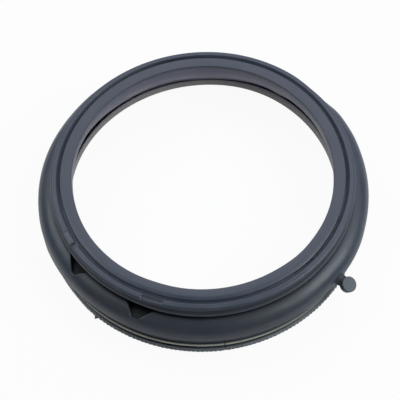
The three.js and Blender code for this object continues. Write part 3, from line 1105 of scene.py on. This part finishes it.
        rough = (side + pocket + channel + clamp).clipped() * 0.3
        relief = fine * 0.6 + streaks * 0.8
        inputs = {"Strength": 0.35, "Distance": self.grain, "Height": relief}
        bump = shader.add("ShaderNodeBump", None, inputs)
        principled = shader.add(
            "ShaderNodeBsdfPrincipled",
            None,
            {
                "Base Color": base,
                "Roughness": self.roughness + film * 0.16 + (cloud - 0.5) * 0.1 + rough,
                "Specular IOR Level": 0.6,
                "Normal": bump.outputs[0],
            },
        )
        shader.add("ShaderNodeOutputMaterial", None, {"Surface": principled.outputs[0]})
        return material


SEAL_RUBBER = RubberFinish()
HEAD_RUBBER = RubberFinish(
    name="head_rubber",
    colour=(0.057, 0.076, 0.100, 1.0),
    worn=(0.080, 0.093, 0.122, 1.0),
)
# Painted shade: the stub's neck is a darker copy of the rubber, for the shade between the head and the bulge.
SHADED_NECK_RUBBER = RubberFinish(
    name="shaded_neck_rubber",
    colour=(0.036, 0.038, 0.046, 1.0),
    worn=(0.050, 0.052, 0.060, 1.0),
    roughness=0.6,
)


@dataclass(frozen=True)
class FloorFinish:
    """White studio floor that keeps the seal's shadow.

    Attributes:
        name: The material's name.
        lit: Colour of the floor for light that bounces.
        own_light: How white the floor is to the camera.
        mirrored: Share of the white in reflections, in front of the seal and behind it.
        mirrored_aside: The share at its two sides.
        mirrored_inside: The share inside the ring.
        aside_from: Squares of the distances to the side between which the share rises.
        inside_to: Distances from the ring's axis between which the inside ends.
    """

    name: str = "studio_floor"
    lit: Colour = (0.86, 0.86, 0.86, 1.0)
    own_light: float = 0.94
    mirrored: float = 0.05
    mirrored_aside: float = 0.9
    mirrored_inside: float = 0.6
    aside_from: Span = (0.010, 0.045)
    inside_to: Span = (0.160, 0.180)

    def make(self) -> bpy.types.Material:
        """Builds the material: lit for light that bounces, nearly white for what looks at it.

        Returns:
            The floor's material.
        """
        material = bpy.data.materials.new(self.name)
        shader = Shader(material)
        x, y, _ = shader.axes(shader.add("ShaderNodeTexCoord").outputs["Object"])
        inside = 1.0 - (x * x + y * y).root().between(*self.inside_to)
        aside = (x * x).between(*self.aside_from) * (self.mirrored_aside - self.mirrored) + self.mirrored
        share = inside * self.mirrored_inside + (1.0 - inside) * aside
        lit = shader.add("ShaderNodeBsdfDiffuse", None, {"Color": self.lit})
        glow = shader.add("ShaderNodeEmission", None, {"Color": (1.0, 1.0, 1.0, 1.0), "Strength": 1.0})
        mix = {0: shader.seen(self.own_light, share), 1: lit.outputs[0], 2: glow.outputs[0]}
        both = shader.add("ShaderNodeMixShader", None, mix)
        shader.add("ShaderNodeOutputMaterial", None, {"Surface": both.outputs[0]})
        return material


@dataclass(frozen=True)
class SkyFinish:
    """Studio surroundings: dim near the floor, soft grey overhead, white for what looks past the floor.

    Attributes:
        name: The world's name.
        low: Colour near the floor.
        high: Colour overhead.
        back: Colour low behind the seal.
        mirrored: Share of the white in reflections.
        high_rise: Heights of a direction between which the overhead grey fades in.
        high_ahead: How far ahead a direction points where it fades in.
        back_ahead: The same for what lies behind the seal.
        back_rise: Its heights.
    """

    name: str = "studio_surroundings"
    low: Colour = (0.05, 0.05, 0.055, 1.0)
    high: Colour = (0.34, 0.35, 0.38, 1.0)
    back: Colour = (0.84, 0.76, 1.0, 1.0)
    mirrored: float = 0.03
    high_rise: Span = (0.5, 0.85)
    high_ahead: Span = (-0.15, 0.4)
    back_ahead: Span = (0.5, 0.8)
    back_rise: Span = (0.1, 0.3)

    def make(self) -> bpy.types.World:
        """Builds the world.

        Returns:
            The studio's world.
        """
        world = bpy.data.worlds.new(self.name)
        shader = Shader(world)
        _, ahead, rise = shader.axes(shader.add("ShaderNodeTexCoord").outputs["Generated"])
        overhead = rise.between(*self.high_rise) * ahead.between(*self.high_ahead)
        behind = ahead.between(*self.back_ahead) * rise.between(*self.back_rise)
        grey = shader.blended(behind, shader.blended(overhead, self.low, self.high), self.back)
        around = shader.add("ShaderNodeBackground", None, {"Color": grey})
        white = shader.add("ShaderNodeBackground", None, {"Color": (1.0, 1.0, 1.0, 1.0), "Strength": 1.0})
        mix = {0: shader.seen(1.0, self.mirrored), 1: around.outputs[0], 2: white.outputs[0]}
        both = shader.add("ShaderNodeMixShader", None, mix)
        shader.add("ShaderNodeOutputWorld", None, {"Surface": both.outputs[0]})
        return world


@dataclass
class Seal:
    """The moulded ring: front ring, bulge, rear end, apron and skirt in one skin."""

    section: SealSection = field(default_factory=SealSection)
    step: float = 1.25
    fine_step: float = 0.4
    mark_step: float = 0.12
    least_step: float = 0.045
    pocket_margin: float = 0.6
    mark_margin: float = 0.3
    seam_cuts: tuple[float, ...] = (-0.3, -0.22, -0.12, 0.0, 0.12, 0.22, 0.3)

    def marks(self) -> tuple[BandMark, ...]:
        """The small marks on the raised band.

        Returns:
            The marks, in the order in which they are laid over each other.
        """
        s = self.section
        middle = (s.groove_outer + s.ring_top - s.shoulder_round[0] * 0.5) / 2
        return (
            BandMark(208.3, 17.5, middle + 0.3, 5.0, -0.6, hollow=True),
            BandMark(212.4, 6.0, middle, 6.4, -1.8),
            BandMark(246.0, 2.4, s.ring_top - 2.6, 3.0, -0.9),
            BandMark(250.0, 24.0, middle + 0.2, 4.2, -0.8, hollow=True),
        )

    def azimuths(self) -> list[float]:
        """The azimuths of the cuts: even all round, close where something small is.

        Returns:
            The azimuths in degrees, rising.
        """
        s = self.section
        stops = set(np.round(np.arange(0.0, 360.0, self.step), 3))
        for pocket in s.pockets:
            first, last = pocket.left - self.pocket_margin, pocket.right + self.pocket_margin
            stops |= set(np.round(np.arange(first, last, self.fine_step), 3))
        for mark in self.marks():
            for end in (mark.azimuth - mark.half_span(), mark.azimuth + mark.half_span()):
                first, last = end - self.mark_margin, end + self.mark_margin + 0.01
                stops |= set(np.round(np.arange(first, last, self.mark_step), 3))
        stops |= set(np.round(s.seam_azimuth + np.array(self.seam_cuts), 3))
        ordered = sorted(stops)
        kept = [ordered[0]]
        for stop in ordered[1:]:
            if stop - kept[-1] > self.least_step:
                kept.append(stop)
        return [float(stop) for stop in kept]

    def build(self) -> bpy.types.Object:
        """Builds the skin.

        Returns:
            The seal's object.
        """
        points, zones = self.section.plain()
        on_band = zones == Zone.BAND.value
        cuts = []
        for azimuth in self.azimuths():
            outline = self.section.at(azimuth, points, zones)
            for mark in self.marks():
                outline[:, 1] += on_band * mark.lift(azimuth, points[:, 0])
            outline[:, 1] = np.minimum(outline[:, 1], self.section.front)
            cut = turned(outline, azimuth)
            cut[:, :2] += self.section.lean(azimuth, outline[:, 1], zones)
            cuts.append(cut)
        return swept(np.array(cuts)).build("seal_skin")


@dataclass
class RearTeeth:
    """Small uneven teeth round the rear lip.

    Attributes:
        section: The ring that they stand on.
        count: How many there are.
        depth: How far the largest stand out.
        foot: Height of their foot above the floor.
        height: Their height.
        samples: Cuts in each tooth.
        seed: Start of the random draws.
        pressed: First and last azimuth, and fade, of the stretch where they are pressed flat.
        pressed_flatness: How much of a tooth is gone there.
        pressed_stand: How far the band itself stands out there, as a share of the depth.
    """

    section: SealSection = field(default_factory=SealSection)
    count: int = 240
    depth: float = 0.8
    foot: float = 0.5
    height: float = 6.2
    samples: int = 8
    seed: int = 7
    pressed: tuple[float, float, float] = (203.0, 223.0, 5.0)
    pressed_flatness: float = 0.7
    pressed_stand: float = 0.6

    def build(self) -> bpy.types.Object:
        """Builds the toothed band.

        Returns:
            The band's object.
        """
        s = self.section
        draw = np.random.default_rng(self.seed)
        size = 0.65 + 0.35 * draw.random(self.count)
        lean = 0.12 * (draw.random(self.count) - 0.5)
        cuts = []
        for index in range(self.count * self.samples):
            tooth, part = divmod(index, self.samples)
            share = part / self.samples
            wave = max(0.0, math.sin(math.pi * min(max((share - 0.2 + lean[tooth]) / 0.72, 0.0), 1.0))) ** 0.6
            azimuth = 360.0 * index / (self.count * self.samples)
            pressed = window(azimuth, *self.pressed)
            tall = size[tooth] * wave * (1.0 - self.pressed_flatness * pressed)
            stand = self.depth * (tall + self.pressed_stand * pressed)
            base = s.rear_radius(azimuth) - s.seam(azimuth)
            top = self.foot + self.height
            outline = np.array(
                [
                    (base - 1.2, top),
                    (base - 0.1 + stand * 0.5, top - 0.1),
                    (base + 0.05 + stand, top - 1.0),
                    (base + 0.05 + stand, self.foot + 0.9),
                    (base - 0.1 + stand * 0.5, self.foot + 0.1),
                    (base - 1.2, self.foot),
                ]
            )
            cuts.append(turned(outline, azimuth))
        return swept(np.array(cuts), closed_section=False).build("rear_teeth")


@dataclass
class Nib:
    """The pointed nib on the rear lip."""

    section: SealSection = field(default_factory=SealSection)
    azimuth: float = 228.7
    reach: float = 3.8
    half_width: float = 4.7
    top: float = 7.4
    foot: float = 0.6

    def build(self) -> bpy.types.Object:
        """Builds the nib.

        Returns:
            The nib's object.
        """
        base = self.section.rear_radius(self.azimuth)
        cuts = []
        for share in np.linspace(0.0, 1.0, 7):
            shrink = (1.0 - share) ** 1.2 + 0.06
            middle = (self.top + self.foot) / 2 - share * 1.0
            half = (self.top - self.foot) / 2 * (1.0 - 0.75 * share)
            radius = base - 1.5 + (self.reach + 1.5) * share
            ring = []
            for angle in np.radians(np.arange(0, 360, 30)):
                soft = abs(math.cos(angle)) ** 0.7 * math.copysign(1, math.cos(angle))
                tall = abs(math.sin(angle)) ** 0.7 * math.copysign(1, math.sin(angle))
                ring.append((radius, self.half_width * shrink * soft, middle + half * tall))
            cuts.append(ring)
        points = np.array(cuts)
        turn = math.radians(self.azimuth)
        x = points[..., 0] * math.cos(turn) - points[..., 1] * math.sin(turn)
        y = points[..., 0] * math.sin(turn) + points[..., 1] * math.cos(turn)
        plan = swept(np.stack([x, y, points[..., 2]], axis=-1), closed_round=False)
        last = len(plan.vertices)
        plan.faces.append(tuple(range(last - 12, last)))
        return plan.build("lip_nib")


@dataclass
class DrainStub:
    """The closed stub on the bulge: a short neck and a leaning round head."""

    section: SealSection = field(default_factory=SealSection)
    azimuth: float = -40.05
    reach: float = 13.3
    face_height: float = 42.0
    head_radius: float = 8.9
    head_length: float = 8.0
    head_round: float = 1.0
    head_foot_round: float = 1.6
    lean: float = 28.0
    neck_radius: float = 6.4
    neck_taper: float = 0.45
    root_flare: float = 2.4
    sides: int = 64

    def _frame(self) -> Matrix:
        """The turn that brings the stub, made over +X, to its azimuth."""
        return Matrix.Rotation(math.radians(self.azimuth), 4, "Z")

    def head(self) -> bpy.types.Object:
        """The head, turned about its own axis.

        Returns:
            The head's object.
        """
        rim, foot = self.head_round, self.head_foot_round
        upper = elliptic((self.head_radius - rim, -rim), (rim, rim), 90, 0, 5)
        lower = elliptic((self.head_radius - foot, foot - self.head_length), (foot, foot), 0, -90, 5)
        line = [(0.02, -0.12), (self.head_radius * 0.5, -0.12), (self.head_radius * 0.8, -0.1)]
        line += upper + lower + [(0.02, -self.head_length)]
        angles = np.radians(np.arange(self.sides) * 360.0 / self.sides)
        cuts = np.array([[(r * math.cos(a), r * math.sin(a), z) for r, z in line] for a in angles])
        head = swept(cuts, closed_section=False).build("stub_head")
        place = Matrix.Translation(Vector((self.section.bulge + self.reach, 0, self.face_height)) * MM)
        lean = Matrix.Rotation(math.radians(self.lean), 4, "Y")
        head.data.transform(self._frame() @ place @ lean)
        return head

    def neck(self) -> bpy.types.Object:
        """The neck, which spreads where it grows out of the bulge.

        Returns:
            The neck's object.
        """
        s, lean = self.section, math.radians(self.lean)
        end = s.bulge + self.reach - self.head_length / 2 * math.sin(lean)
        height = self.face_height - self.head_length / 2 * math.cos(lean)
        start = s.bulge - s.wall
        cuts = []
        for share in np.linspace(0.0, 1.0, 25):
            outward = start + (end - start) * share
            flare = self.root_flare * math.exp(-max(outward - s.bulge + 0.5, 0.0) / 1.6)
            radius = (self.neck_radius + flare) * (1.0 - self.neck_taper * float(smooth(share, 0.6, 1.0)))
            ring = []
            for angle in np.radians(np.arange(self.sides) * 360.0 / self.sides):
                rise = height + radius * math.sin(angle)
                below = min(abs(s.centre_height - rise) / s.lower_height, 0.95)
                recede = s.crest_width * (1.0 - math.sqrt(1.0 - below**2))
                ring.append((outward - recede * (1.0 - share) ** 1.5, radius * math.cos(angle), rise))
            cuts.append(ring)
        neck = swept(np.array(cuts), closed_round=False).build("stub_neck")
        neck.data.transform(self._frame())
        return neck


@dataclass(frozen=True)
class SoftBox:
    """A rectangular lamp that faces the seal.

    Attributes:
        name: The lamp's name.
        where: Its place in metres.
        size: Its width and height in metres.
        power: In watts.
        tint: Its colour.
        aim: What it faces.
    """

    name: str
    where: tuple[float, float, float]
    size: Span
    power: float
    tint: tuple[float, float, float]
    aim: tuple[float, float, float] = (0.0, 0.0, 0.03)

    def hang(self) -> bpy.types.Object:
        """Hangs the lamp.

        Returns:
            The lamp's object.
        """
        data = bpy.data.lights.new(self.name, "AREA")
        data.shape, data.size, data.size_y, data.energy = "RECTANGLE", *self.size, self.power
        data.color = self.tint
        made = bpy.data.objects.new(self.name, data)
        made.location = self.where
        made.rotation_euler = (Vector(self.aim) - Vector(self.where)).to_track_quat("-Z", "Y").to_euler()
        bpy.context.scene.collection.objects.link(made)
        return made


@dataclass
class Studio:
    """The camera at the picture's angle, the floor, the lamps and the surroundings."""

    pivot: tuple[float, float, float] = (0.0, 0.0, 0.079)
    target: tuple[float, float, float] = (-0.003928, -0.039732, 0.079)
    elevation: float = 1.00563806
    roll: float = -0.04234026
    distance: float = 1.155
    lens: float = 90.545
    sensor: float = 36.0
    sight: float = 20.0
    floor_half: float = 6000.0
    floor_drop: float = 0.2
    lamps: tuple[SoftBox, ...] = (
        SoftBox("overhead", (0.3, 1.05, 1.65), (2.0, 1.1), 8.6, (0.99, 0.955, 1.0)),
        SoftBox("left", (-1.1, 0.4, 1.35), (0.9, 0.9), 7.8, (0.92, 1.0, 1.0)),
        SoftBox("right", (1.22, -0.28, 1.33), (1.1, 1.0), 15.5, (0.92, 1.0, 1.0)),
    )

    def camera(self) -> bpy.types.Object:
        """Sets the camera up.

        Returns:
            The scene's camera.
        """
        back = Vector((0.0, -math.cos(self.elevation), math.sin(self.elevation)))
        eye = Vector(self.pivot) + self.distance * back
        forward = (Vector(self.target) - eye).normalized()
        right = forward.cross(Vector((0.0, 0.0, 1.0))).normalized()
        up = right.cross(forward)
        c, s = math.cos(self.roll), math.sin(self.roll)
        side, top = c * right + s * up, c * up - s * right
        data = bpy.data.cameras.new("view")
        data.lens, data.sensor_width = self.lens, self.sensor
        data.dof.use_dof = False
        data.clip_end = self.sight
        made = bpy.data.objects.new("view", data)
        made.matrix_world = Matrix(
            (
                (side.x, top.x, -forward.x, eye.x),
                (side.y, top.y, -forward.y, eye.y),
                (side.z, top.z, -forward.z, eye.z),
                (0.0, 0.0, 0.0, 1.0),
            )
        )
        bpy.context.scene.collection.objects.link(made)
        bpy.context.scene.camera = made
        return made

    def floor(self) -> bpy.types.Object:
        """Lays the floor.

        Returns:
            The floor's object.
        """
        corners = np.array([(-1.0, -1.0), (1.0, -1.0), (1.0, 1.0), (-1.0, 1.0)]) * self.floor_half
        corners = np.column_stack([corners, np.full(4, -self.floor_drop)])
        made = MeshPlan(corners, [(0, 1, 2, 3)]).build("studio_floor", smooth_faces=False)
        made.data.materials.append(FloorFinish().make())
        return made

    def build(self) -> None:
        """Sets up everything that isn't the seal."""
        self.camera()
        self.floor()
        bpy.context.scene.world = SkyFinish().make()
        for lamp in self.lamps:
            lamp.hang()


def dress(pieces: Iterable[bpy.types.Object], material: bpy.types.Material) -> None:
    """Gives pieces their material and their place in the model.

    Args:
        pieces: The objects.
        material: What they are made of.
    """
    for piece in pieces:
        piece.data.materials.append(material)
        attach(piece, Body.ROOT.value)
        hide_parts("door_seal")
        LOG.info("%s: %d faces", piece.name, len(piece.data.polygons))


def main() -> None:
    """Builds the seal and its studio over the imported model."""
    logging.basicConfig(level=logging.INFO, format="%(name)s: %(message)s")
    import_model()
    bpy.context.scene.view_settings.view_transform = "Standard"
    Studio().build()
    section = SealSection()
    stub = DrainStub(section)
    dress([Seal(section).build(), RearTeeth(section).build(), Nib(section).build()], SEAL_RUBBER.make())
    dress([stub.head()], HEAD_RUBBER.make())
    dress([stub.neck()], SHADED_NECK_RUBBER.make())


if __name__ == "__main__":
    main()
